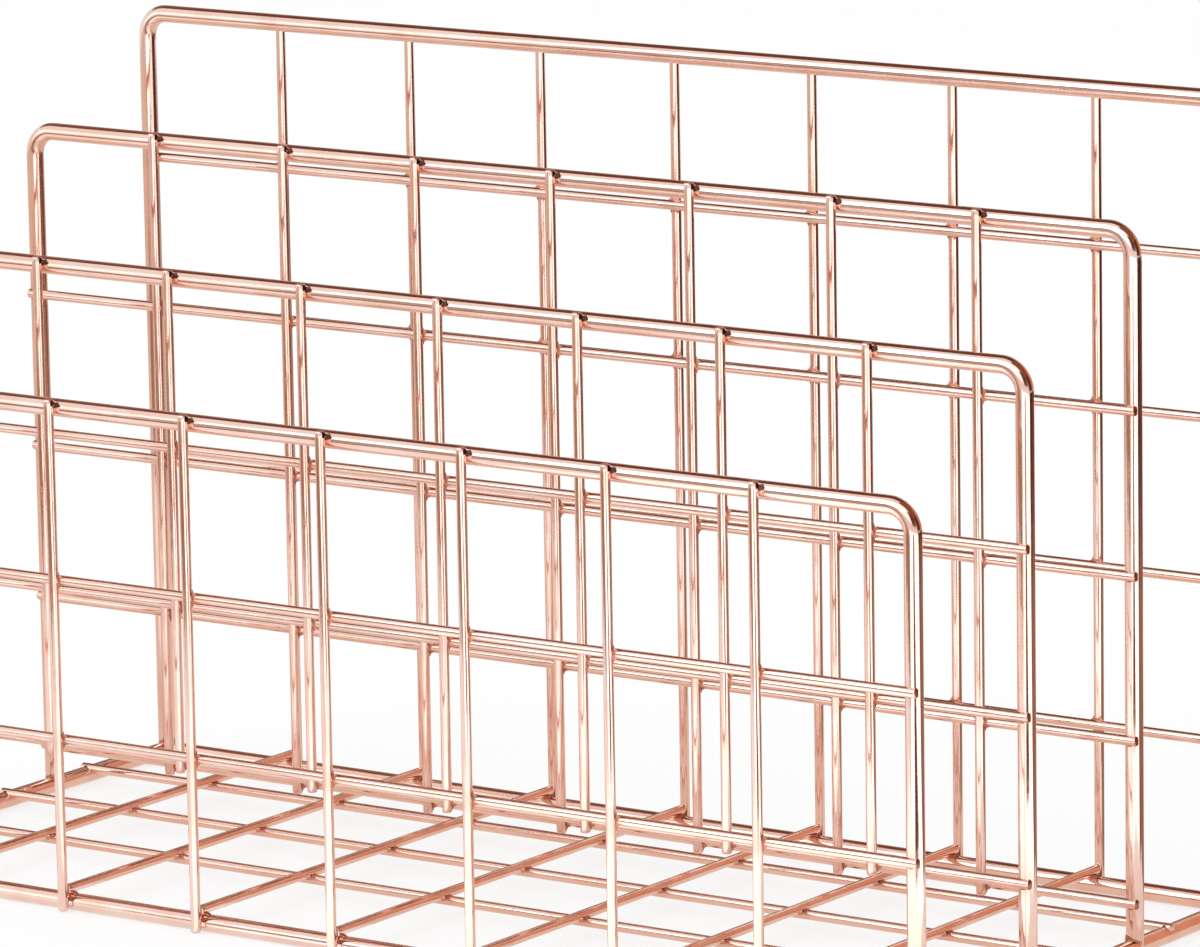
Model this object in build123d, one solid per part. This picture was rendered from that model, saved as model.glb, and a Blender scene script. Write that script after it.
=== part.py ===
from build123d import *

import os
from dataclasses import dataclass

# A letter rack of welded round wire. A closed base loop carries four panel frames, each bent as an
# upside-down U, that rise in tiers from front to back. A mesh of thinner wire is welded over the base and
# over each panel, which leaves three slots for letters between the panels.
# Millimetres. +Z is up, +X runs along the panels and -Y is the front. The origin is on the surface that
# the rack stands on, under the middle of the base.

# Wire diameters and bends
FRAME_WIRE = 3.2  # base loop and panel frames
MESH_WIRE = 1.8  # every straight mesh wire
PANEL_BEND_INSIDE = 2.9  # inside radius of a panel frame's two top bends
BASE_BEND_INSIDE = 0.9  # inside radius of the base loop's four corners
END_ROUND = 0.3  # softening of a mesh wire's cut ends

# Grid of the panels
COLUMN_PITCH = 30.0  # from one upright to the next, and from the outer ones to the posts
COLUMNS = 8
ROW_PITCH = 29.0  # from one rung to the next
FRONT_MESH_DROP = 31.0  # first rung below the top rail, where the mesh is on the frame's front
BACK_MESH_DROP = 28.0  # first rung below the top rail, where the mesh is on the frame's back

# Tiers, middle of wire to middle of wire
PANEL_GAP = 35.0  # from one panel frame to the next
FRONT_HEIGHT = 90.0  # front panel's top rail above the base loop
TIER_STEP = 18.0  # each top rail above the one in front of it
BASE_ROW_PITCH = 24.5  # from the back of the base loop to a long wire, and on to the next
BASE_FRONT_ROOM = 15.0  # least room left between the last long wire and the front of the base loop

# Welds
RAIL_SINK = 0.1  # a mesh wire pressed into a frame wire that it crosses
MESH_SINK = 0.6  # a mesh wire pressed into a mesh wire that it crosses
END_SHY = 0.25  # a mesh wire's end stops this short of the far side of the frame wire under it
FRONT_HEAD_OVER = 0.25  # an upright's head stands this far above its top rail, where the mesh is on the front
BACK_HEAD_SHY = 0.6  # and stops this short of the rail's top, where the mesh is on the back
BUTT_GAP = 0.1  # between a base cross wire's end and the upright that it stops at
FOOT_SEAT = 1.0  # depth of the saddle in a post's foot, where it straddles the base loop
STUB = 2.0  # an upright runs on this far below the middle of its lowest rung, where it ends in the air
RUNG_CLEAR = 0.8  # least room under such an upright, above the base mesh

# Places that follow from the sizes above
HALF_WIDTH = COLUMN_PITCH * COLUMNS / 2
BASE_Z = FRAME_WIRE / 2
UPRIGHT_OFFSET = (FRAME_WIRE + MESH_WIRE) / 2 - RAIL_SINK
RUNG_OFFSET = UPRIGHT_OFFSET - MESH_WIRE + MESH_SINK
LAP = FRAME_WIRE / 2 - END_SHY
CROSS_END = FRAME_WIRE / 2 - RAIL_SINK - BUTT_GAP
LOWEST_RUNG = UPRIGHT_OFFSET + MESH_WIRE / 2 + RUNG_CLEAR + STUB
COLUMN_XS = [COLUMN_PITCH * k - HALF_WIDTH for k in range(1, COLUMNS)]


@dataclass(frozen=True)
class Panel:
    """One upright panel: a bent frame with a mesh on one of its faces.

    tier counts from the front, face is -1 for a mesh on the front and 1 for one on the back, rungs is how
    many it has, and over_base says whether the uprights run down over the base loop or end under the
    lowest rung.
    """

    name: str
    tier: int
    face: int
    drop: float
    rungs: int
    over_base: bool

    @property
    def y(self):
        return PANEL_GAP * (self.tier - (PANEL_COUNT - 1) / 2)

    @property
    def top(self):
        return BASE_Z + FRONT_HEIGHT + TIER_STEP * self.tier

    @property
    def rung_heights(self):
        """Middles of the rungs, from the top one down. On a low panel they close up evenly."""
        first = self.top - self.drop
        pitch = min(ROW_PITCH, (first - BASE_Z - LOWEST_RUNG) / (self.rungs - 1))
        return [first - pitch * row for row in range(self.rungs)]

    @property
    def upright_head(self):
        """Height of the uprights' upper ends."""
        return self.top + FRAME_WIRE / 2 + (FRONT_HEAD_OVER if self.face < 0 else -BACK_HEAD_SHY)

    @property
    def upright_foot(self):
        """Height of the uprights' lower ends."""
        return BASE_Z - LAP if self.over_base else self.rung_heights[-1] - STUB


PANEL_COUNT = 4
PANELS = [
    Panel("front_panel", 0, -1, FRONT_MESH_DROP, 2, True),
    Panel("second_panel", 1, -1, FRONT_MESH_DROP, 3, False),
    Panel("third_panel", 2, -1, FRONT_MESH_DROP, 4, False),
    Panel("back_panel", 3, 1, BACK_MESH_DROP, 4, True),
]
HALF_DEPTH = PANEL_GAP * (PANEL_COUNT - 1) / 2


def bent_wire(points, inside_radius, close=False):
    """Sweeps the frame wire along a bent path, open or closed."""
    path = FilletPolyline(*points, radius=inside_radius + FRAME_WIRE / 2, close=close)
    return sweep(Plane(path @ 0, z_dir=path % 0) * Circle(FRAME_WIRE / 2), path)


def mesh_wire(start, end):
    """Makes a straight mesh wire with softened cut ends."""
    run = Vector(*end) - Vector(*start)
    rod = Cylinder(MESH_WIRE / 2, run.length, align=(Align.CENTER, Align.CENTER, Align.MIN))
    rod = fillet(rod.edges().filter_by(GeomType.CIRCLE), END_ROUND)
    return Plane(origin=start, z_dir=run) * rod


def seated(piece, *under):
    """Cuts a piece where it is welded onto others and keeps its main solid."""
    return max((piece - list(under)).solids(), key=lambda solid: solid.volume)


def base_loop():
    """Makes the closed loop that the rack stands on."""
    corners = [(-1, -1), (1, -1), (1, 1), (-1, 1)]
    points = [(x * HALF_WIDTH, y * HALF_DEPTH, BASE_Z) for x, y in corners]
    return bent_wire(points, BASE_BEND_INSIDE, close=True)


def panel_frame(panel, loop):
    """Makes a panel's frame, whose two posts straddle the base loop."""
    foot = BASE_Z + FRAME_WIRE / 2 - FOOT_SEAT
    outline = [(-HALF_WIDTH, foot), (-HALF_WIDTH, panel.top), (HALF_WIDTH, panel.top), (HALF_WIDTH, foot)]
    return seated(bent_wire([(x, panel.y, z) for x, z in outline], PANEL_BEND_INSIDE), loop)


def panel_uprights(panel, frame, loop):
    """Makes a panel's uprights, which lie outermost, across its top rail: one, repeated at each column."""
    x = COLUMN_XS[0]
    y = panel.y + panel.face * UPRIGHT_OFFSET
    upright = seated(mesh_wire((x, y, panel.upright_foot), (x, y, panel.upright_head)), frame, loop)
    return [Pos(column - x, 0, 0) * upright for column in COLUMN_XS]


def panel_rungs(panel, frame, uprights):
    """Makes a panel's rungs, from post to post between the frame and the uprights: one, repeated down."""
    y = panel.y + panel.face * RUNG_OFFSET
    end = HALF_WIDTH + LAP
    top = panel.rung_heights[0]
    rung = seated(mesh_wire((-end, y, top), (end, y, top)), frame, *uprights)
    return [Pos(0, 0, height - top) * rung for height in panel.rung_heights]


def base_cross_wires(loop):
    """Makes the base wires that run from front to back on top of the loop: one, repeated at each column."""
    x = COLUMN_XS[0]
    z = BASE_Z + UPRIGHT_OFFSET
    end = HALF_DEPTH + CROSS_END
    cross = seated(mesh_wire((x, -end, z), (x, end, z)), loop)
    return [Pos(column - x, 0, 0) * cross for column in COLUMN_XS]


def base_long_wires(loop, frames, cross_wires):
    """Makes the base wires that run from side to side under the cross wires, clear of the posts."""
    z = BASE_Z + RUNG_OFFSET
    end = HALF_WIDTH + LAP
    count = int((2 * HALF_DEPTH - BASE_FRONT_ROOM) / BASE_ROW_PITCH)
    rows = [HALF_DEPTH - BASE_ROW_PITCH * (row + 1) for row in range(count)]
    wire = seated(mesh_wire((-end, rows[0], z), (end, rows[0], z)), loop, *cross_wires)
    return [seated(Pos(0, y - rows[0], 0) * wire, *frames) for y in rows]


def build():
    """Makes every wire of the rack.

    Returns the solids by the name of their node.
    """
    loop = base_loop()
    loop_solid = loop.solids()[0]
    nodes = {"base_loop": loop_solid}
    frames = []
    for panel in PANELS:
        frame = panel_frame(panel, loop_solid)
        uprights = panel_uprights(panel, frame, loop_solid)
        frames.append(frame)
        nodes[f"{panel.name}_frame"] = frame
        for number, upright in enumerate(uprights, 1):
            nodes[f"{panel.name}_upright_{number}"] = upright
        for number, rung in enumerate(panel_rungs(panel, frame, uprights), 1):
            nodes[f"{panel.name}_rung_{number}"] = rung
    cross_wires = base_cross_wires(loop_solid)
    for number, cross in enumerate(cross_wires, 1):
        nodes[f"base_cross_wire_{number}"] = cross
    for number, long_wire in enumerate(base_long_wires(loop_solid, frames, cross_wires), 1):
        nodes[f"base_long_wire_{number}"] = long_wire
    return nodes


if __name__ == "__main__":
    os.makedirs("parts", exist_ok=True)
    for node, solid in build().items():
        export_step(solid, f"parts/{node}.step")
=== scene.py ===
"""Dresses the welded wire letter rack: plated wires, weld fillets, a plain studio and the camera."""

from __future__ import annotations

import logging
import math
from collections.abc import Callable, Iterator
from contextlib import contextmanager
from dataclasses import dataclass, field, replace
from enum import Enum
from typing import Any

import bmesh
import bpy
from mathutils import Euler, Matrix, Vector


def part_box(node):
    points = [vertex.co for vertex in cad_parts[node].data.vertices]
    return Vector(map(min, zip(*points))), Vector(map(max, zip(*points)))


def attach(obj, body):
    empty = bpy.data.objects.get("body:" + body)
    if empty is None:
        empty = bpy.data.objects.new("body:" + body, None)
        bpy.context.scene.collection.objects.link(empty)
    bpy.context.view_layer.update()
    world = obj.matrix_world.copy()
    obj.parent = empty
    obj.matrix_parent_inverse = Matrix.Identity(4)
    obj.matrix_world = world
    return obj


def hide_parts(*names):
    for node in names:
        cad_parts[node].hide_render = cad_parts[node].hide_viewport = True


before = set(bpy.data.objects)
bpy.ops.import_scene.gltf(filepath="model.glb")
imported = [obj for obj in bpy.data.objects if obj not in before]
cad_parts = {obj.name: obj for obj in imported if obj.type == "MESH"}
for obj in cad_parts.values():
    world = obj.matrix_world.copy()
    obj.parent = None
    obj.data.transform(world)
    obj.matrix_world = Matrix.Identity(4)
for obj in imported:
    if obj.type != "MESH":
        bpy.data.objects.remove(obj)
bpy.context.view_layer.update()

LOG = logging.getLogger("letter_rack")
MM = 0.001
TINY = 1e-6  # in metres, too small a distance to matter
NOISE_MIDDLE = 0.5  # what a noise swings about
THIRD_MATERIAL = 2  # its slot on a piece
BODY = "root"
Colour = tuple[float, float, float, float]
Triple = tuple[float, float, float]


class Axis(Enum):
    """A direction of the rack: along the panels, from front to back, or up."""

    X = 0
    Y = 1
    Z = 2

    @property
    def unit(self) -> Vector:
        """Gives the unit vector of this direction."""
        return Vector([1.0 if i == self.value else 0.0 for i in range(3)])


def corners(node: str) -> tuple[Vector, Vector]:
    """Gives the lowest and highest corners of a node's box."""
    low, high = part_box(node)
    return Vector(low), Vector(high)


def middle(node: str) -> Vector:
    """Gives the middle of a node's box."""
    low, high = corners(node)
    return (low + high) / 2


# ---------------------------------------------------------------- shader graph


class Socket:
    """One output of a shader graph; arithmetic on it adds Math nodes."""

    def __init__(self, graph: Graph, link: bpy.types.NodeSocket) -> None:
        """Keeps the graph and the node's output.

        Args:
            graph: The graph that the output is in.
            link: The output itself.
        """
        self.graph = graph
        self.link = link

    def math(self, operation: str, *values: Socket | float) -> Socket:
        """Adds a Math node.

        Args:
            operation: The node's operation.
            values: Its inputs in order, numbers or sockets.

        Returns:
            The node's output.
        """
        return self.graph.add("ShaderNodeMath", {"operation": operation}, dict(enumerate(values)))

    def __add__(self, other: Socket | float) -> Socket:
        """Adds a value."""
        return self.math("ADD", self, other)

    def __radd__(self, other: float) -> Socket:
        """Adds to a number."""
        return self.math("ADD", other, self)

    def __sub__(self, other: Socket | float) -> Socket:
        """Takes a value away."""
        return self.math("SUBTRACT", self, other)

    def __rsub__(self, other: float) -> Socket:
        """Takes this from a number."""
        return self.math("SUBTRACT", other, self)

    def __mul__(self, other: Socket | float) -> Socket:
        """Multiplies by a value."""
        return self.math("MULTIPLY", self, other)

    def __rmul__(self, other: float) -> Socket:
        """Multiplies a number."""
        return self.math("MULTIPLY", other, self)

    def __abs__(self) -> Socket:
        """Drops the sign."""
        return self.math("ABSOLUTE", self)

    def larger(self, other: Socket | float) -> Socket:
        """Takes the larger of this and a value."""
        return self.math("MAXIMUM", self, other)

    def from_nearest(self, pitch: float, first: float) -> Socket:
        """Gives the distance from the nearest line of an even row of lines.

        Args:
            pitch: From one line to the next.
            first: Where one of the lines is.

        Returns:
            The distance, never negative.
        """
        return abs(self.math("WRAP", self - first, pitch / 2, -pitch / 2))

    def fade(self, start: float, end: float) -> Socket:
        """Falls smoothly from 1 to 0.

        Args:
            start: Where it leaves 1.
            end: Where it reaches 0.

        Returns:
            The falling value.
        """
        ends = {"From Min": start, "From Max": end, "To Min": 1.0, "To Max": 0.0}
        curve = {"interpolation_type": "SMOOTHSTEP"}
        return self.graph.add("ShaderNodeMapRange", curve, {"Value": self, **ends})


@dataclass(frozen=True)
class Grain:
    """The grains of a noise: how many to the metre on each axis, octaves, and a shift of the pattern."""

    scale: Triple
    detail: float
    shift: Triple = (0.0, 0.0, 0.0)
    roughness: float = 0.55


class Graph:
    """A node tree that is being filled."""

    mix_inputs: tuple[int, int, int] = (0, 6, 7)  # a Mix node's factor and its two colours
    mix_output: int = 2

    def __init__(self, tree: bpy.types.NodeTree) -> None:
        """Empties a node tree and keeps it."""
        self.tree = tree
        tree.nodes.clear()

    @classmethod
    def of_material(cls, name: str) -> tuple[bpy.types.Material, Graph]:
        """Makes a material.

        Args:
            name: What it is called.

        Returns:
            The material, and its empty graph.
        """
        made = bpy.data.materials.new(name)
        made.use_nodes = True
        return made, cls(made.node_tree)

    def add(
        self,
        kind: str,
        settings: dict[str, Any] | None = None,
        inputs: dict[str | int, Any] | None = None,
        output: str | int = 0,
    ) -> Socket:
        """Adds a node of any kind.

        Args:
            kind: The node's type.
            settings: Its properties, which are set first.
            inputs: Values or sockets by the name or number of the input.
            output: Name or number of the output that is wanted.

        Returns:
            That output.
        """
        node = self.tree.nodes.new(kind)
        for name, value in (settings or {}).items():
            setattr(node, name, value)
        for name, value in (inputs or {}).items():
            if isinstance(value, Socket):
                self.tree.links.new(value.link, node.inputs[name])
            else:
                node.inputs[name].default_value = value
        return Socket(self, node.outputs[output] if len(node.outputs) else None)

    def blend(self, factor: Socket | float, first: Socket | Colour, second: Socket | Colour) -> Socket:
        """Mixes two colours by a factor."""
        inputs = dict(zip(self.mix_inputs, (factor, first, second)))
        return self.add("ShaderNodeMix", {"data_type": "RGBA"}, inputs, self.mix_output)

    def place(self) -> tuple[Socket, Socket, Socket, Socket]:
        """Reads the point on the object.

        Returns:
            The whole vector, then its three parts.
        """
        point = self.add("ShaderNodeTexCoord", output="Object")
        split = self.add("ShaderNodeSeparateXYZ", None, {0: point})
        return (point, *(Socket(self, part) for part in split.link.node.outputs))

    def noise(self, point: Socket, grain: Grain) -> Socket:
        """Adds a noise, whose grains may be stretched.

        Args:
            point: Where the noise is read.
            grain: What its grains are like.

        Returns:
            The noise, from 0 to 1.
        """
        place = {"Vector": point, "Scale": grain.scale, "Location": grain.shift}
        spread = self.add("ShaderNodeMapping", {"vector_type": "POINT"}, place)
        octaves = {"Detail": grain.detail, "Roughness": grain.roughness}
        return self.add("ShaderNodeTexNoise", None, {"Vector": spread, "Scale": 1.0, **octaves})


# ---------------------------------------------------------------- finishes


@dataclass(frozen=True)
class WeldGrid:
    """Where the welds of one flat mesh are: on even columns along X and even rows along another axis."""

    row_axis: Axis
    row_pitch: float
    first_row: float
    column_pitch: float = 30 * MM
    heart: float = 0.9 * MM
    edge: float = 3.2 * MM

    def mask(self, parts: tuple[Socket, Socket, Socket]) -> Socket:
        """Gives 1 in the heart of a weld and 0 past its edge.

        Args:
            parts: The point's three parts.

        Returns:
            The mask.
        """
        column = parts[Axis.X.value].from_nearest(self.column_pitch, 0.0)
        row = parts[self.row_axis.value].from_nearest(self.row_pitch, self.first_row)
        return column.fade(self.heart, self.edge) * row.fade(self.heart, self.edge)


@dataclass(frozen=True)
class RoseGold:
    """Polished rose-gold plating on drawn wire, duller at the welds and darker round each crossing, partly
    for the thinner plating there and partly as painted shade in its corners.
    """

    grid: WeldGrid
    grain: Axis
    pink: Colour = (0.88, 0.647, 0.567, 1.0)
    copper: Colour = (0.85, 0.568, 0.468, 1.0)
    # darker tone at the crossings: thinner plating and painted shade
    thin_plating_and_shade: Colour = (0.50, 0.20, 0.13, 1.0)
    roughness: float = 0.10
    roughness_swing: float = 0.08
    weld_roughness: float = 0.04
    thin_plating_and_shade_share: float = 0.15
    cloud: Grain = Grain((95.0, 95.0, 95.0), 3.0)
    speck: Grain = Grain((900.0, 900.0, 900.0), 2.0, (3.1, 1.7, 5.3))
    waves: Grain = Grain((260.0, 260.0, 260.0), 1.0, (7.7, 2.9, 4.1))
    line_scale: tuple[float, float] = (140.0, 3800.0)  # along the wire and across it
    line_detail: float = 2.0
    pink_to: float = 0.34  # the cloud's value up to which the plating is pink
    copper_from: float = 0.66  # and from which it is copper
    roughness_mix: Triple = (0.6, 0.7, 0.2)  # shares of cloud, speck and lines
    relief_mix: Triple = (0.06, 0.25, 1.6)  # shares of lines, speck and waves
    relief_strength: float = 0.22
    relief_depth: float = 0.05 * MM
    coat: float = 0.25
    coat_roughness: float = 0.05

    @property
    def lines(self) -> Grain:
        """Gives the fine lines that drawing the wire leaves along it."""
        along, across = self.line_scale
        return Grain(tuple(along if axis is self.grain else across for axis in Axis), self.line_detail)

    def material(self, name: str) -> bpy.types.Material:
        """Makes the material.

        Args:
            name: What it is called.

        Returns:
            The material.
        """
        made, graph = Graph.of_material(name)
        point, *parts = graph.place()
        weld = self.grid.mask(tuple(parts))
        grains = (self.cloud, self.speck, self.lines, self.waves)
        cloud, speck, lines, waves = (graph.noise(point, grain) for grain in grains)

        tone = graph.blend(cloud.fade(self.copper_from, self.pink_to), self.pink, self.copper)
        # Painted shade, with some of the thinner plating: the tone darkens towards the middle of each
        # crossing.
        tone = graph.blend(weld * self.thin_plating_and_shade_share, tone, self.thin_plating_and_shade)

        swings = [noise - NOISE_MIDDLE for noise in (cloud, speck, lines)]
        by_cloud, by_speck, by_lines = (share * swing for share, swing in zip(self.roughness_mix, swings))
        rough = self.roughness + self.roughness_swing * (by_cloud + by_speck + by_lines)
        rough = rough + weld * self.weld_roughness

        of_lines, of_speck, of_waves = self.relief_mix
        height = of_lines * lines + of_speck * speck + of_waves * waves
        bumps = {"Strength": self.relief_strength, "Distance": self.relief_depth, "Height": height}
        relief = graph.add("ShaderNodeBump", None, bumps)
        shader = graph.add(
            "ShaderNodeBsdfPrincipled",
            None,
            {
                "Base Color": tone,
                "Metallic": 1.0,
                "Roughness": rough,
                "Normal": relief,
                "Coat Weight": self.coat,
                "Coat Roughness": self.coat_roughness,
            },
        )
        graph.add("ShaderNodeOutputMaterial", None, {"Surface": shader})
        return made

    def cut_end(self) -> RoseGold:
        """Gives the duller finish of a wire's sheared end."""
        return replace(self, roughness=0.42, thin_plating_and_shade_share=0.0)

    def thin_plated_and_shaded(self) -> RoseGold:
        """Gives the darker finish of a weld, partly for its thinner plating and partly as painted shade in
        the corners of the crossing.
        """
        return replace(self, pink=(0.50, 0.24, 0.165, 1.0), copper=(0.36, 0.15, 0.10, 1.0), roughness=0.22)

    def thin_plated_and_shaded_bead(self) -> RoseGold:
        """Gives the finish of a base weld, a bright bead that is a little browner than the wire, partly for
        its thinner plating and partly as painted shade at the crossing.
        """
        return replace(self, pink=(0.80, 0.45, 0.33, 1.0), copper=(0.66, 0.32, 0.22, 1.0), roughness=0.16)

    def notch_shade(self) -> RoseGold:
        """Gives the near-black finish of painted shade in the notch beside an upright's head."""
        dark, darker = (0.10, 0.034, 0.020, 1.0), (0.07, 0.022, 0.013, 1.0)
        return replace(self, pink=dark, copper=darker, roughness=0.30)


# ---------------------------------------------------------------- modelling bench


class Element(Enum):
    """What is picked in a mesh, with the name of its list."""

    VERT = "verts"
    EDGE = "edges"


class Bench:
    """Modelling by hand, in code: primitives, edit mode, copies and finishing."""

    quad_sides: int = 4
    rim_segments: int = 3
    rim_profile: float = 0.5

    @staticmethod
    def clear() -> None:
        """Leaves edit mode and deselects everything."""
        if bpy.context.object and bpy.context.object.mode != "OBJECT":
            bpy.ops.object.mode_set(mode="OBJECT")
        bpy.ops.object.select_all(action="DESELECT")

    @staticmethod
    @contextmanager
    def editing(piece: bpy.types.Object) -> Iterator[None]:
        """Opens a piece in edit mode and closes it again.

        Args:
            piece: The piece.

        Yields:
            Nothing, while the piece is open.
        """
        Bench.clear()
        piece.select_set(True)
        bpy.context.view_layer.objects.active = piece
        bpy.ops.object.mode_set(mode="EDIT")
        yield
        bpy.ops.object.mode_set(mode="OBJECT")

    @staticmethod
    def ring(
        name: str, radius: float, sides: int, centre: Vector, axis: Axis, filled: bool = False
    ) -> bpy.types.Object:
        """Adds a ring of edges square to an axis, with its place in its mesh.

        Args:
            name: The object's name.
            radius: Of the ring.
            sides: Of the ring.
            centre: Of the ring.
            axis: That it is square to.
            filled: Whether it has a face.

        Returns:
            The ring.
        """
        Bench.clear()
        square = math.pi / 2
        turns = {Axis.X: (0.0, square, 0.0), Axis.Y: (-square, 0.0, 0.0), Axis.Z: (0.0, 0.0, 0.0)}
        bpy.ops.mesh.primitive_circle_add(
            vertices=sides,
            radius=radius,
            fill_type="NGON" if filled else "NOTHING",
            location=centre,
            rotation=turns[axis],
        )
        piece = bpy.context.object
        piece.name = piece.data.name = name
        bpy.ops.object.transform_apply(location=True, rotation=True, scale=True)
        return piece

    @staticmethod
    def pick(piece: bpy.types.Object, test: Callable[[Any], bool], what: Element) -> None:
        """Selects, in edit mode, just those vertices or edges that pass a test.

        Args:
            piece: The object in edit mode.
            test: Takes a bmesh element.
            what: Which elements.
        """
        mesh = bmesh.from_edit_mesh(piece.data)
        bpy.ops.mesh.select_all(action="DESELECT")
        bpy.ops.mesh.select_mode(type=what.name)
        for element in getattr(mesh, what.value):
            if test(element):
                element.select_set(True)
        mesh.select_flush_mode()
        bmesh.update_edit_mesh(piece.data)

    @staticmethod
    def draw(step: Vector) -> None:
        """Extrudes the selected ring or face by a step."""
        bpy.ops.mesh.extrude_region_move(TRANSFORM_OT_translate={"value": step})

    @staticmethod
    def bend(centre: Vector, axis: Vector, angle: float, steps: int) -> None:
        """Spins the selected ring round a bend, by the right hand round the axis."""
        bpy.ops.mesh.spin(steps=steps, angle=-angle, center=centre, axis=axis)

    @staticmethod
    def close_ends(piece: bpy.types.Object, softening: float) -> None:
        """Fills a tube's open ends and softens their rims.

        Args:
            piece: The tube, in edit mode.
            softening: Width of the rim's rounding.
        """
        bpy.ops.mesh.select_all(action="SELECT")
        bpy.ops.mesh.fill_holes(sides=0)
        Bench.pick(
            piece,
            lambda edge: any(len(face.verts) > Bench.quad_sides for face in edge.link_faces),
            Element.EDGE,
        )
        bpy.ops.mesh.bevel(
            offset=softening,
            offset_type="OFFSET",
            segments=Bench.rim_segments,
            profile=Bench.rim_profile,
            affect="EDGES",
        )

    @staticmethod
    def settle(piece: bpy.types.Object, smooth_to: float = 50.0) -> bpy.types.Object:
        """Merges doubles, turns all faces outwards and smooths the shading.

        Args:
            piece: The piece.
            smooth_to: Largest angle between faces that is still shaded smooth, in degrees.

        Returns:
            The same piece.
        """
        with Bench.editing(piece):
            bpy.ops.mesh.select_all(action="SELECT")
            bpy.ops.mesh.remove_doubles(threshold=TINY)
            bpy.ops.mesh.normals_make_consistent(inside=False)
        bpy.ops.object.shade_smooth_by_angle(angle=math.radians(smooth_to))
        return piece

    @staticmethod
    def copy(piece: bpy.types.Object, name: str, move: Matrix) -> bpy.types.Object:
        """Copies a piece, with a mesh of its own.

        Args:
            piece: What is copied.
            name: Of the copy.
            move: Takes the piece's place to the copy's.

        Returns:
            The copy.
        """
        twin = piece.copy()
        twin.data = piece.data.copy()
        twin.name = twin.data.name = name
        twin.data.transform(move)
        bpy.context.collection.objects.link(twin)
        return twin

    @staticmethod
    def join(name: str, pieces: list[bpy.types.Object]) -> bpy.types.Object:
        """Joins pieces into one object.

        Args:
            name: Of the object.
            pieces: What is joined.

        Returns:
            The object.
        """
        Bench.clear()
        for piece in pieces:
            piece.select_set(True)
        bpy.context.view_layer.objects.active = pieces[0]
        bpy.ops.object.join()
        pieces[0].name = pieces[0].data.name = name
        return pieces[0]


@dataclass(frozen=True)
class Gauge:
    """A drawn wire: its radius, how many sides its mesh has and how its ends are softened."""

    radius: float
    sides: int
    softening: float
    collar: float = 1.2 * MM  # the stretch next to an end or a bend that has edges of its own
    end_facing: float = 0.6  # a face that looks further along the wire belongs to its end

    def straight(self, name: str, node: str) -> bpy.types.Object:
        """Models a straight wire in the place of a CAD node.

        Args:
            name: Of the piece.
            node: The wire's node, whose box gives its run.

        Returns:
            The wire, whose ends take the second material.
        """
        low, high = corners(node)
        axis = max(Axis, key=lambda way: (high - low)[way.value])
        run = (high - low)[axis.value]
        wire = Bench.ring(name, self.radius, self.sides, middle(node) - axis.unit * run / 2, axis)
        with Bench.editing(wire):
            bpy.ops.mesh.select_all(action="SELECT")
            for step in (self.collar, run - 2 * self.collar, self.collar):
                Bench.draw(axis.unit * step)
            Bench.close_ends(wire, self.softening)
        Bench.settle(wire)
        for face in wire.data.polygons:
            face.material_index = int(abs(face.normal[axis.value]) > self.end_facing)
        return wire


FRAME_GAUGE = Gauge(radius=1.6 * MM, sides=32, softening=0.3 * MM)
MESH_GAUGE = Gauge(radius=0.9 * MM, sides=24, softening=0.3 * MM)


class WeldForm(Enum):
    """The kinds of weld, each with the scale of the fillet on it along X, up, and through the crossing."""

    MESH = (1.0, 1.0, 1.0)
    BEAD = (0.86, 0.86, 1.7)
    RAIL = (0.86, 0.46, 0.9)
    LAP = (0.62, 0.66, 1.0)
    # a small fillet beside an upright's head, which carries painted shade
    NOTCH = (0.34, 0.32, 0.5)


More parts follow.
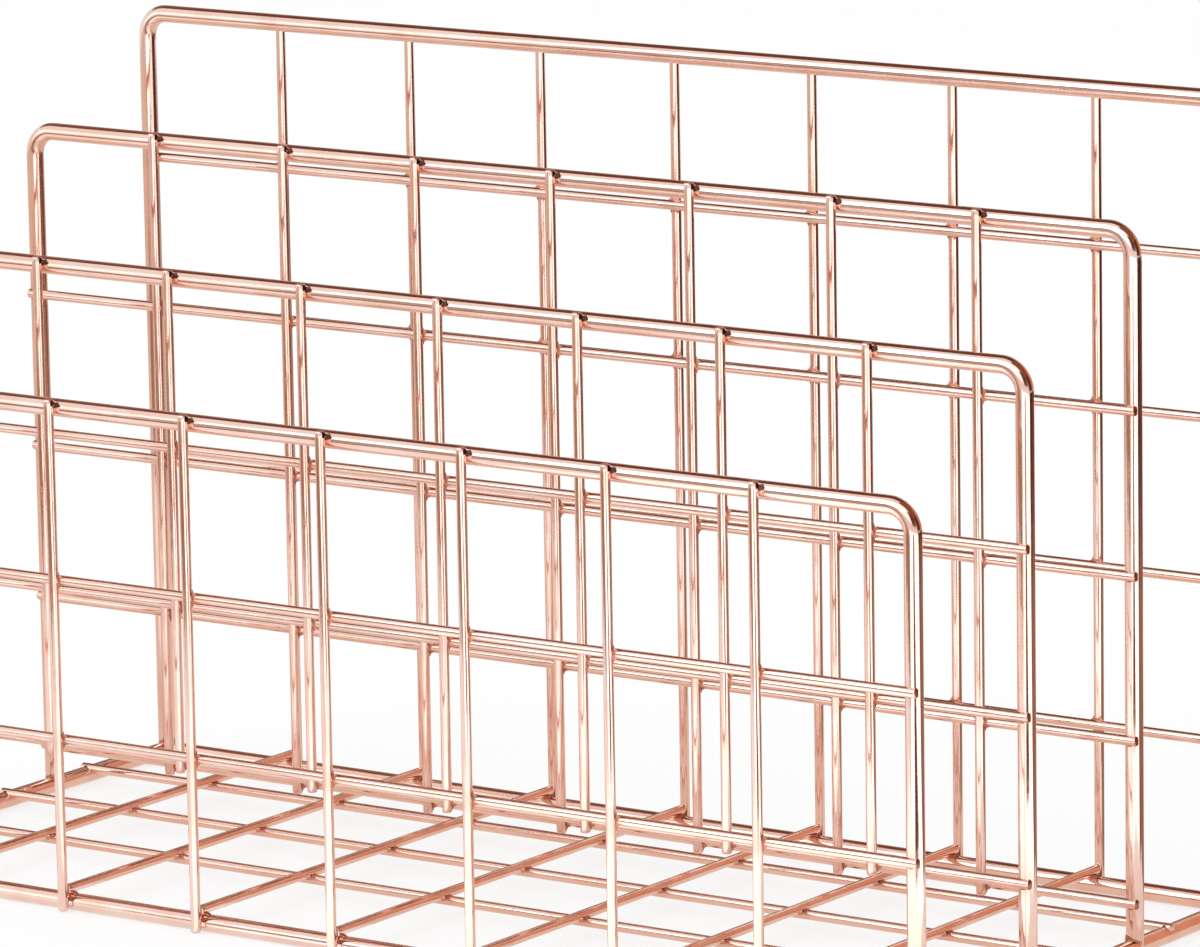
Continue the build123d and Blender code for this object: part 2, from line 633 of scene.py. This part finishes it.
@dataclass
class WeldShop:
    """Models one weld fillet, four thin webs in the corners of two crossing wires, and copies it."""

    reach: float = 1.8 * MM
    sides: int = 16
    corner: float = 0.80  # what its corners keep of the reach, where they are drawn in
    half_depth: float = 0.34 * MM
    taper: float = 0.62  # size of its two faces against its middle
    smooth_to: float = 80.0
    collar_radius: float = 1.7 * MM
    collar_sides: int = 24
    collar_sink: float = 0.9 * MM  # from the top of the loop down to the collar's foot
    collar_shift: float = 0.1 * MM  # towards the middle of the rack
    collar_steps: tuple[tuple[float, float], ...] = (  # rise and narrowing
        (0.7 * MM, 1.0),
        (0.45 * MM, 0.975),
        (0.5 * MM, 0.955),
    )
    master: bpy.types.Object = field(init=False)

    def __post_init__(self) -> None:
        """Models the fillet at the origin, with its crossing in the XZ plane."""
        self.master = self.model()

    def model(self) -> bpy.types.Object:
        """Models the fillet: a star with drawn-in corners, drawn thin to both sides.

        Returns:
            The fillet.
        """
        half = Axis.Y.unit * self.half_depth
        star = Bench.ring("weld_fillet", self.reach, self.sides, -half, Axis.Y, filled=True)
        with Bench.editing(star):
            Bench.pick(star, lambda vert: abs(abs(vert.co.x) - abs(vert.co.z)) < TINY, Element.VERT)
            self.scale(self.corner)
            bpy.ops.mesh.select_all(action="SELECT")
            self.scale(self.taper)
            Bench.draw(half)
            self.scale(1 / self.taper)
            Bench.draw(half)
            self.scale(self.taper)
        return Bench.settle(star, self.smooth_to)

    @staticmethod
    def scale(factor: float) -> None:
        """Scales what is selected about the middle of the crossing."""
        bpy.ops.transform.resize(value=(factor, 1.0, factor), center_override=(0.0, 0.0, 0.0))

    def fillet(self, name: str, place: Vector, form: WeldForm, tilt: float = 0.0) -> bpy.types.Object:
        """Sets a copy of the fillet on a crossing.

        Args:
            name: Of the copy.
            place: Middle of the contact.
            form: The kind of weld.
            tilt: Turn about X in degrees, 0 for an upright crossing and 90 for one that lies flat.

        Returns:
            The copy.
        """
        turn = Matrix.Rotation(math.radians(tilt), 4, "X")
        along, up, through = form.value
        size = Matrix.Diagonal((along, through, up, 1.0))
        return Bench.copy(self.master, name, Matrix.Translation(place) @ turn @ size)

    def foot(self, name: str, place: Vector) -> bpy.types.Object:
        """Models the collar where a post is welded onto the base loop.

        Args:
            name: Of the collar.
            place: Middle of the post at the top of the loop.

        Returns:
            The collar.
        """
        shift = Vector((-math.copysign(self.collar_shift, place.x), 0.0, -self.collar_sink))
        collar = Bench.ring(name, self.collar_radius, self.collar_sides, place + shift, Axis.Z, filled=True)
        with Bench.editing(collar):
            bpy.ops.mesh.select_all(action="SELECT")
            for rise, share in self.collar_steps:
                Bench.draw(Axis.Z.unit * rise)
                bpy.ops.transform.resize(value=(share, share, 1.0), center_override=place)
        return Bench.settle(collar, self.smooth_to)

    def close(self) -> None:
        """Removes the master fillet."""
        bpy.data.objects.remove(self.master, do_unlink=True)


# ---------------------------------------------------------------- the rack


@dataclass
class Assembly:
    """What panels and base share: dressing a piece and putting it on the rack."""

    name: str

    def hand_over(
        self, piece: bpy.types.Object, finish: list[bpy.types.Material], node: str | None = None
    ) -> None:
        """Gives a piece its finish and hangs it on the rack's body.

        Args:
            piece: The finished piece.
            finish: Its materials, in the order of its slots.
            node: The CAD node that it stands for, if any.
        """
        for material in finish:
            piece.data.materials.append(material)
        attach(piece, BODY)
        if node:
            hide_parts(node)
        LOG.info("%s: %d faces", piece.name, len(piece.data.polygons))

    def row_of(
        self,
        nodes: list[str],
        finish: list[bpy.types.Material],
        mark: Callable[[bpy.types.Object], None] | None = None,
    ) -> None:
        """Models the first of a row of equal wires and copies it to the others.

        Args:
            nodes: The wires' nodes.
            finish: Their materials, on their length, on their ends and on what is marked.
            mark: Picks faces of the first wire for the third material.
        """
        first = MESH_GAUGE.straight(f"{nodes[0]}_plated", nodes[0])
        if mark:
            mark(first)
        start = Vector(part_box(nodes[0])[0])
        wires = [first]
        for node in nodes[1:]:
            move = Matrix.Translation(Vector(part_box(node)[0]) - start)
            wires.append(Bench.copy(first, f"{node}_plated", move))
        for wire, node in zip(wires, nodes):
            self.hand_over(wire, finish, node)


class Face(Enum):
    """The face of a frame that its mesh is welded to, with the way it looks along Y."""

    FRONT = -1
    BACK = 1


@dataclass
class Panel(Assembly):
    """One panel: a bent frame with uprights and rungs welded to one of its faces."""

    rungs: int
    face: Face
    over_base: bool  # whether the uprights run down over the base loop
    columns: int = 7
    bend_radius: float = 4.5 * MM  # to the middle of the wire
    bend_steps: int = 12
    foot: float = 1.8 * MM  # where the posts start, in the base loop
    row_pitch: float = 29 * MM
    mesh_contact: float = 1.8 * MM  # from the frame's middle plane to where uprights and rungs touch
    rail_contact: float = 1.7 * MM  # to where uprights touch the rails
    lap_contact: float = 1.45 * MM  # to where rungs touch the posts
    crest: float = 0.85 * MM  # a top weld over the rail's middle, or under it for a mesh at the back
    rail_reach: float = 2.5 * MM  # how far from a rail or an upright a weld still belongs to it
    notch_place: Triple = (0.98 * MM, 1.36 * MM, 0.78 * MM)  # right of an upright, out, above the rail
    notch_tilt: float = 30.0
    notch_foot: float = 0.2 * MM  # above the rail's middle, as is the notch's top
    notch_top: float = 1.2 * MM
    head_shade_from: float = 0.92  # a face of a head that looks further to the right takes painted shade

    @property
    def upright_nodes(self) -> list[str]:
        """Names the uprights' nodes."""
        return [f"{self.name}_upright_{number}" for number in range(1, self.columns + 1)]

    @property
    def rung_nodes(self) -> list[str]:
        """Names the rungs' nodes."""
        return [f"{self.name}_rung_{number}" for number in range(1, self.rungs + 1)]

    def build(self, welds: WeldShop) -> None:
        """Models and dresses every piece of the panel.

        Args:
            welds: Makes the weld fillets.
        """
        grid = WeldGrid(Axis.Z, self.row_pitch, middle(self.rung_nodes[0]).z)
        level = RoseGold(grid, Axis.X).material(f"{self.name}_level_plating")
        upright = RoseGold(grid, Axis.Z).material(f"{self.name}_upright_plating")
        ends = RoseGold(grid, Axis.Z).cut_end().material(f"{self.name}_cut_ends")
        thin_plated_and_shaded_joints = RoseGold(grid, Axis.X).thin_plated_and_shaded().material(f"{self.name}_weld_plating")
        # Painted shade for the notch beside each upright's head, used on the heads and on the notch
        # fillets.
        notch_shades = RoseGold(grid, Axis.X).notch_shade().material(f"{self.name}_notch_plating")
        self.hand_over(self.bent_frame(), [upright, level], f"{self.name}_frame")
        self.row_of(self.upright_nodes, [upright, ends, notch_shades], self.paint_head_shade)
        # The rungs' ends sit in the lap welds and take the weld finish, which paints a dark reflection on
        # their end faces.
        self.row_of(self.rung_nodes, [level, thin_plated_and_shaded_joints])
        self.hand_over(self.weld_fillets(welds), [thin_plated_and_shaded_joints, level, notch_shades])

    def paint_head_shade(self, upright: bpy.types.Object) -> None:
        """Gives the third material, painted shade, to the right side of an upright's head.

        Args:
            upright: The upright.
        """
        head = max(vert.co.z for vert in upright.data.vertices)
        for face in upright.data.polygons:
            in_head = face.center.z > head - MESH_GAUGE.collar and not face.material_index
            if in_head and face.normal.x > self.head_shade_from:
                face.material_index = THIRD_MATERIAL

    def bent_frame(self) -> bpy.types.Object:
        """Models the upside-down U: a ring drawn up one post, round two bends and down the other.

        Returns:
            The frame, whose level faces take the second material.
        """
        low, high = corners(f"{self.name}_frame")
        half = high.x - FRAME_GAUGE.radius
        y = (low.y + high.y) / 2
        shoulder = high.z - FRAME_GAUGE.radius - self.bend_radius
        inner = half - self.bend_radius
        collar = FRAME_GAUGE.collar
        start = Vector((-half, y, self.foot))
        name = f"{self.name}_frame_plated"
        wire = Bench.ring(name, FRAME_GAUGE.radius, FRAME_GAUGE.sides, start, Axis.Z)
        up, along = Axis.Z.unit, Axis.X.unit
        with Bench.editing(wire):
            bpy.ops.mesh.select_all(action="SELECT")
            Bench.draw(up * (shoulder - self.foot - collar))
            Bench.draw(up * collar)
            Bench.bend(Vector((-inner, y, shoulder)), Axis.Y.unit, math.pi / 2, self.bend_steps)
            for step in (collar, 2 * inner - 2 * collar, collar):
                Bench.draw(along * step)
            Bench.bend(Vector((inner, y, shoulder)), Axis.Y.unit, math.pi / 2, self.bend_steps)
            Bench.draw(up * -collar)
            Bench.draw(up * -(shoulder - self.foot - collar))
            bpy.ops.mesh.select_all(action="SELECT")
            bpy.ops.mesh.fill_holes(sides=0)
        Bench.settle(wire)
        for face in wire.data.polygons:
            face.material_index = int(abs(face.center.x) < inner)
        return wire

    def weld_fillets(self, welds: WeldShop) -> bpy.types.Object:
        """Sets a fillet on every crossing, a small fillet beside each head that carries painted shade, and
        a collar at each post's foot.

        Args:
            welds: Makes them.

        Returns:
            The welds, as one piece, of which those on the rails take the second material, and the
            notches beside the uprights' heads the third, which is painted shade.
        """
        low, high = corners(f"{self.name}_frame")
        base_low, base_high = corners("base_loop")
        posts = (FRAME_GAUGE.radius - high.x, high.x - FRAME_GAUGE.radius)
        rail = high.z - FRAME_GAUGE.radius
        columns = [middle(node).x for node in self.upright_nodes]
        rows = [middle(node).z for node in self.rung_nodes]
        way = self.face.value
        y = (low.y + high.y) / 2
        contacts = (self.mesh_contact, self.rail_contact, self.lap_contact)
        y_mesh, y_rail, y_lap = (y + way * contact for contact in contacts)

        spots = [(Vector((x, y_mesh, z)), WeldForm.MESH) for x in columns for z in rows]
        spots += [(Vector((x, y_rail, rail - way * self.crest)), WeldForm.RAIL) for x in columns]
        if self.over_base:
            z = (base_low.z + base_high.z) / 2
            spots += [(Vector((x, y_rail, z)), WeldForm.RAIL) for x in columns]
        spots += [(Vector((x, y_lap, z)), WeldForm.LAP) for x in posts for z in rows]
        made = [welds.fillet(f"{self.name}_weld", place, form) for place, form in spots]
        made += [welds.foot(f"{self.name}_collar", Vector((x, y, base_high.z))) for x in posts]
        # Beside each head a small fillet is set to carry painted shade, the dark of the shadowed notch
        # there.
        aside, out, over = self.notch_place
        tilt = way * self.notch_tilt
        for x in columns:
            place = Vector((x + aside, y + way * out, rail + over))
            made.append(welds.fillet(f"{self.name}_notch", place, WeldForm.NOTCH, tilt))

        joined = Bench.join(f"{self.name}_welds", made)
        for face in joined.data.polygons:
            spot = face.center
            on_loop = spot.z < base_high.z and abs(spot.x) < columns[-1] + self.rail_reach
            on_rail = spot.z > rail - self.rail_reach
            beside = any(0.0 < spot.x - x < self.rail_reach for x in columns)
            # Faces in the notch beside a head take painted shade.
            notched = beside and self.notch_foot < spot.z - rail < self.notch_top
            face.material_index = THIRD_MATERIAL if notched else int(on_loop or on_rail)
        return joined


@dataclass
class Base(Assembly):
    """The base: a closed loop with a mesh of cross wires over long wires."""

    columns: int = 7
    rows: int = 3
    bend_radius: float = 2.5 * MM
    bend_steps: int = 12
    row_pitch: float = 24.5 * MM
    mesh_contact: float = 3.4 * MM  # height where cross wires and long wires touch
    rail_contact: float = 3.25 * MM  # where cross wires touch the loop
    lap_contact: float = 3.05 * MM  # where long wires touch it
    weld_tilt: float = 90.0

    @property
    def cross_nodes(self) -> list[str]:
        """Names the nodes of the wires from front to back."""
        return [f"base_cross_wire_{number}" for number in range(1, self.columns + 1)]

    @property
    def long_nodes(self) -> list[str]:
        """Names the nodes of the wires from side to side."""
        return [f"base_long_wire_{number}" for number in range(1, self.rows + 1)]

    def build(self, welds: WeldShop) -> None:
        """Models and dresses every piece of the base.

        Args:
            welds: Makes the weld fillets.
        """
        grid = WeldGrid(Axis.Y, self.row_pitch, middle(self.long_nodes[0]).y)
        along = RoseGold(grid, Axis.X).material("base_long_plating")
        across = RoseGold(grid, Axis.Y).material("base_cross_plating")
        ends = RoseGold(grid, Axis.Y).cut_end().material("base_cut_ends")
        # The base welds' finish carries a light painted shade.
        thin_plated_and_shaded_joints = RoseGold(grid, Axis.X).thin_plated_and_shaded_bead().material("base_weld_plating")
        self.hand_over(self.loop(), [along, across], "base_loop")
        self.row_of(self.cross_nodes, [across, ends])
        self.row_of(self.long_nodes, [along, ends])
        self.hand_over(self.weld_fillets(welds), [thin_plated_and_shaded_joints])

    def loop(self) -> bpy.types.Object:
        """Models the closed loop: a ring drawn along four sides and round four bends.

        Returns:
            The loop, whose side faces take the second material.
        """
        low, high = corners("base_loop")
        z = (low.z + high.z) / 2
        inset = FRAME_GAUGE.radius + self.bend_radius
        inner = Vector((high.x - inset, high.y - inset, 0.0))
        collar = FRAME_GAUGE.collar
        start = Vector((-inner.x, -inner.y - self.bend_radius, z))
        wire = Bench.ring("base_loop_plated", FRAME_GAUGE.radius, FRAME_GAUGE.sides, start, Axis.X)
        sides = (
            (Axis.X.unit, 2 * inner.x, Vector((inner.x, -inner.y, z))),
            (Axis.Y.unit, 2 * inner.y, Vector((inner.x, inner.y, z))),
            (-Axis.X.unit, 2 * inner.x, Vector((-inner.x, inner.y, z))),
            (-Axis.Y.unit, 2 * inner.y, Vector((-inner.x, -inner.y, z))),
        )
        with Bench.editing(wire):
            bpy.ops.mesh.select_all(action="SELECT")
            for way, run, corner in sides:
                for step in (collar, run - 2 * collar, collar):
                    Bench.draw(way * step)
                Bench.bend(corner, Axis.Z.unit, math.pi / 2, self.bend_steps)
        Bench.settle(wire)
        for face in wire.data.polygons:
            face.material_index = int(abs(face.center.y) < inner.y)
        return wire

    def weld_fillets(self, welds: WeldShop) -> bpy.types.Object:
        """Sets a fillet on every crossing of the base.

        Args:
            welds: Makes them.

        Returns:
            The welds, as one piece.
        """
        high = corners("base_loop")[1]
        half, depth = high.x - FRAME_GAUGE.radius, high.y - FRAME_GAUGE.radius
        columns = [middle(node).x for node in self.cross_nodes]
        rows = [middle(node).y for node in self.long_nodes]
        long_rails, sides = (-depth, depth), (-half, half)
        spots = [(Vector((x, y, self.mesh_contact)), WeldForm.BEAD) for x in columns for y in rows]
        spots += [(Vector((x, y, self.rail_contact)), WeldForm.RAIL) for x in columns for y in long_rails]
        spots += [(Vector((x, y, self.lap_contact)), WeldForm.LAP) for x in sides for y in rows]
        made = [welds.fillet("base_weld", place, form, self.weld_tilt) for place, form in spots]
        return Bench.join("base_welds", made)


# ---------------------------------------------------------------- studio and camera


class Stance(Enum):
    """How a card is set up: standing and facing the rack, or lying level, on the floor or overhead."""

    STANDING = 0
    LYING = 1


class Paper(Enum):
    """The colours of the cards."""

    WHITE = (1.0, 1.0, 1.0, 1.0)
    ROSE = (1.0, 0.82, 0.72, 1.0)
    BROWN = (1.0, 0.62, 0.46, 1.0)
    COPPER = (1.0, 0.46, 0.29, 1.0)
    MAROON = (1.0, 0.39, 0.25, 1.0)


@dataclass(frozen=True)
class Card:
    """A card beside the set, dark or bright, which shows only as a reflection in the metal."""

    name: str
    stance: Stance
    middle: Triple
    size: tuple[float, float]
    level: float
    paper: Paper = Paper.WHITE
    turn: float = 0.0


@dataclass(frozen=True)
class Softbox:
    """A soft lamp that faces the rack."""

    name: str
    place: Triple
    size: tuple[float, float]
    brightness: float


@dataclass
class Studio:
    """A white floor under a plain soft light, with cards that draw the edges of the metal."""

    aim: Triple = (0.0, 0.0, 0.07)
    floor_size: float = 12.0
    floor_colour: Colour = (0.93, 0.93, 0.93, 1.0)
    floor_glow: float = 0.75
    sky: float = 1.0

    softboxes: tuple[Softbox, ...] = (
        Softbox("front_left_softbox", (-0.62, -1.20, 0.95), (0.72, 1.1), 2.4),
    )
    cards: tuple[Card, ...] = (
        Card("canopy", Stance.LYING, (-0.24, 0.495, 0.75), (0.76, 0.99), 0.16, Paper.MAROON),
        Card("right_canopy", Stance.LYING, (0.57, 0.37, 0.75), (0.86, 1.24), 0.28, Paper.MAROON),
        Card("left_canopy", Stance.LYING, (-0.96, 0.495, 0.75), (0.68, 0.99), 0.27, Paper.MAROON),
        Card("left_back_wall", Stance.STANDING, (-0.75, 1.0, 0.375), (0.9, 0.75), 0.30, Paper.BROWN),
        Card("right_back_wall", Stance.STANDING, (0.45, 1.0, 0.375), (1.5, 0.75), 0.75, Paper.COPPER),
        Card("right_wall", Stance.STANDING, (1.0, 0.45, 0.42), (1.1, 0.75), 0.12, Paper.MAROON),
        Card("right_front_wall", Stance.STANDING, (0.98, -0.46, 0.66), (0.80, 0.80), 0.16, Paper.MAROON),
        Card("right_front_card", Stance.STANDING, (0.25, -0.95, 0.85), (1.1, 1.1), 1.9),
        Card("left_front_card", Stance.STANDING, (-1.18, -1.06, 0.42), (0.95, 0.6), 1.6),
        Card("low_front_card", Stance.STANDING, (-0.40, -0.86, 0.15), (0.44, 0.28), 0.40),
        Card("left_floor", Stance.LYING, (-0.31, -0.10, 0.0004), (0.22, 0.6), 0.85, Paper.ROSE),
        Card("left_room", Stance.LYING, (-0.76, -0.20, 0.0003), (0.68, 1.4), 0.80, Paper.ROSE),
        Card("front_left_room", Stance.LYING, (-0.29, -0.735, 0.0004), (0.62, 0.43), 0.80, Paper.ROSE),
        Card("front_left_mat", Stance.LYING, (-0.185, -0.415, 0.0006), (0.53, 0.21), 0.36, Paper.BROWN),
        Card("left_front_mat", Stance.LYING, (-0.315, -0.26, 0.0006), (0.29, 0.10), 0.38, Paper.BROWN),
        Card("near_left_mat", Stance.LYING, (-0.165, -0.133, 0.0005), (0.27, 0.154), 1.1),
        Card("near_mat", Stance.LYING, (0.085, -0.133, 0.0005), (0.23, 0.154), 1.7),
        Card("right_band", Stance.LYING, (0.34, 0.075, 0.0006), (0.30, 0.10), 0.24, Paper.COPPER),
        Card("right_back_mat", Stance.LYING, (0.26, 0.19, 0.0007), (0.32, 0.26), 0.32, Paper.BROWN),
        Card("right_back_room", Stance.LYING, (0.33, 0.46, 0.0005), (0.46, 0.68), 0.16, Paper.MAROON),
        Card("front_mat", Stance.LYING, (0.59, -0.65, 0.0006), (1.02, 0.9), 2.0),
        Card("right_mat", Stance.LYING, (0.55, -0.09, 0.0005), (0.70, 0.22), 2.0),
        # Painted shade: in the reflections, this sheet stands in for the shaded floor under the rack.
        Card("under_mat", Stance.LYING, (-0.05, 0.13, 0.0005), (0.38, 0.34), 0.85, Paper.ROSE),
        Card("back_right_room", Stance.LYING, (0.91, 0.51, 0.0003), (0.82, 0.98), 0.07, Paper.MAROON),
        Card("back_room", Stance.LYING, (-0.09, 0.60, 0.0002), (1.02, 0.8), 0.6, Paper.ROSE),
        Card("camera_mat", Stance.LYING, (0.372, -0.351, 0.0008), (0.11, 0.55), 0.10, Paper.COPPER, 35.0),
    )

    def build(self) -> None:
        """Sets up the floor, the sky, the lamps and the cards."""
        self.lay_floor()
        self.light_sky()
        for box in self.softboxes:
            self.hang(box)
        for card in self.cards:
            self.set_card(card)
        bpy.context.scene.view_settings.view_transform = "Standard"

    @staticmethod
    def seen(graph: Graph) -> Socket:
        """Tells which rays show the background, straight or in a reflection.

        Args:
            graph: The graph of the material that asks.

        Returns:
            1 for those rays and 0 for all others.
        """
        kinds = ("Camera", "Glossy", "Transmission")
        first, second, third = (
            graph.add("ShaderNodeLightPath", output=f"Is {kind} Ray") for kind in kinds
        )
        return first.larger(second).larger(third)

    def facing(self, place: Triple, front: str) -> Euler:
        """Gives the turn that points an object's front axis from its place to the rack."""
        return (Vector(self.aim) - Vector(place)).to_track_quat(front, "Y").to_euler()

    def lay_floor(self) -> None:
        """Lays the white floor, which keeps the rack's shadow."""
        Bench.clear()
        bpy.ops.mesh.primitive_plane_add(size=self.floor_size)
        floor = bpy.context.object
        floor.name = "floor"
        made, graph = Graph.of_material("floor_paper")
        paper = graph.add("ShaderNodeBsdfDiffuse", None, {"Color": self.floor_colour})
        glow = graph.add("ShaderNodeEmission", None, {"Color": Paper.WHITE.value, "Strength": self.sky})
        share = self.seen(graph) * self.floor_glow
        both = graph.add("ShaderNodeMixShader", None, {0: share, 1: paper, 2: glow})
        graph.add("ShaderNodeOutputMaterial", None, {"Surface": both})
        floor.data.materials.append(made)

    def light_sky(self) -> None:
        """Lights the set evenly from all round."""
        world = bpy.data.worlds.new("soft_sky")
        world.use_nodes = True
        graph = Graph(world.node_tree)
        light = {"Color": Paper.WHITE.value, "Strength": self.sky}
        sky = graph.add("ShaderNodeBackground", None, light)
        graph.add("ShaderNodeOutputWorld", None, {"Surface": sky})
        bpy.context.scene.world = world

    def hang(self, box: Softbox) -> None:
        """Hangs a softbox so that it faces the rack.

        Args:
            box: The softbox.
        """
        lamp = bpy.data.lights.new(box.name, "AREA")
        lamp.shape = "RECTANGLE"
        lamp.size, lamp.size_y = box.size
        lamp.energy = math.pi * box.size[0] * box.size[1] * box.brightness
        made = bpy.data.objects.new(box.name, lamp)
        made.location = box.place
        made.rotation_euler = self.facing(box.place, "-Z")
        bpy.context.collection.objects.link(made)

    def set_card(self, card: Card) -> None:
        """Sets up a card that only glossy rays see.

        Args:
            card: The card.
        """
        Bench.clear()
        bpy.ops.mesh.primitive_plane_add(size=1.0)
        made = bpy.context.object
        made.name = card.name
        made.location = card.middle
        if card.stance is Stance.STANDING:
            made.rotation_euler = self.facing(card.middle, "Z")
        else:
            made.rotation_euler = (0.0, 0.0, math.radians(card.turn))
        made.scale = (*card.size, 1.0)
        bpy.ops.object.transform_apply(location=True, rotation=True, scale=True)
        paint, graph = Graph.of_material(f"{card.name}_paint")
        glow = graph.add("ShaderNodeEmission", None, {"Color": card.paper.value, "Strength": card.level})
        graph.add("ShaderNodeOutputMaterial", None, {"Surface": glow})
        made.data.materials.append(paint)
        for rays in ("camera", "diffuse", "shadow", "transmission", "volume_scatter"):
            setattr(made, f"visible_{rays}", False)


@dataclass(frozen=True)
class Viewpoint:
    """The camera, placed round a point over the middle of the base; angles in degrees."""

    azimuth: float = 35.049
    elevation: float = 11.007
    roll: float = -0.953
    distance: float = 1.4403
    side_step: float = -0.01671
    rise: float = -0.00162
    centre: Triple = (0.0, 0.0, 0.075)
    lens: float = 241.98
    film: float = 36.0
    reach: tuple[float, float] = (0.05, 30.0)  # nearest and furthest that it sees
    name: str = "photograph_view"

    def set_up(self) -> bpy.types.Object:
        """Makes the camera and puts it in charge.

        Returns:
            The camera.
        """
        turn, tilt, roll = (math.radians(angle) for angle in (self.azimuth, self.elevation, self.roll))
        ahead = Vector((-math.sin(turn) * math.cos(tilt), math.cos(turn) * math.cos(tilt), -math.sin(tilt)))
        level = Vector((math.cos(turn), math.sin(turn), 0.0))
        upward = level.cross(ahead)
        right = math.cos(roll) * level + math.sin(roll) * upward
        up = math.cos(roll) * upward - math.sin(roll) * level
        place = Vector(self.centre) - self.side_step * right - self.rise * up - self.distance * ahead
        data = bpy.data.cameras.new(self.name)
        data.sensor_fit = "HORIZONTAL"
        data.sensor_width = self.film
        data.lens = self.lens
        data.clip_start, data.clip_end = self.reach
        made = bpy.data.objects.new(self.name, data)
        axes = Matrix((right, up, -ahead)).transposed()
        made.matrix_world = Matrix.Translation(place) @ axes.to_4x4()
        bpy.context.collection.objects.link(made)
        bpy.context.scene.camera = made
        return made


def main() -> None:
    """Builds the rack's sub-assemblies in order, then the studio and the camera."""
    logging.basicConfig(level=logging.INFO, format="%(message)s")
    welds = WeldShop()
    Base("base").build(welds)
    for panel in (
        Panel("front_panel", rungs=2, face=Face.FRONT, over_base=True),
        Panel("second_panel", rungs=3, face=Face.FRONT, over_base=False),
        Panel("third_panel", rungs=4, face=Face.FRONT, over_base=False),
        Panel("back_panel", rungs=4, face=Face.BACK, over_base=True),
    ):
        panel.build(welds)
    welds.close()
    Studio().build()
    camera = Viewpoint().set_up()
    LOG.info("camera at %s", tuple(round(value, 4) for value in camera.location))


if __name__ == "__main__":
    main()
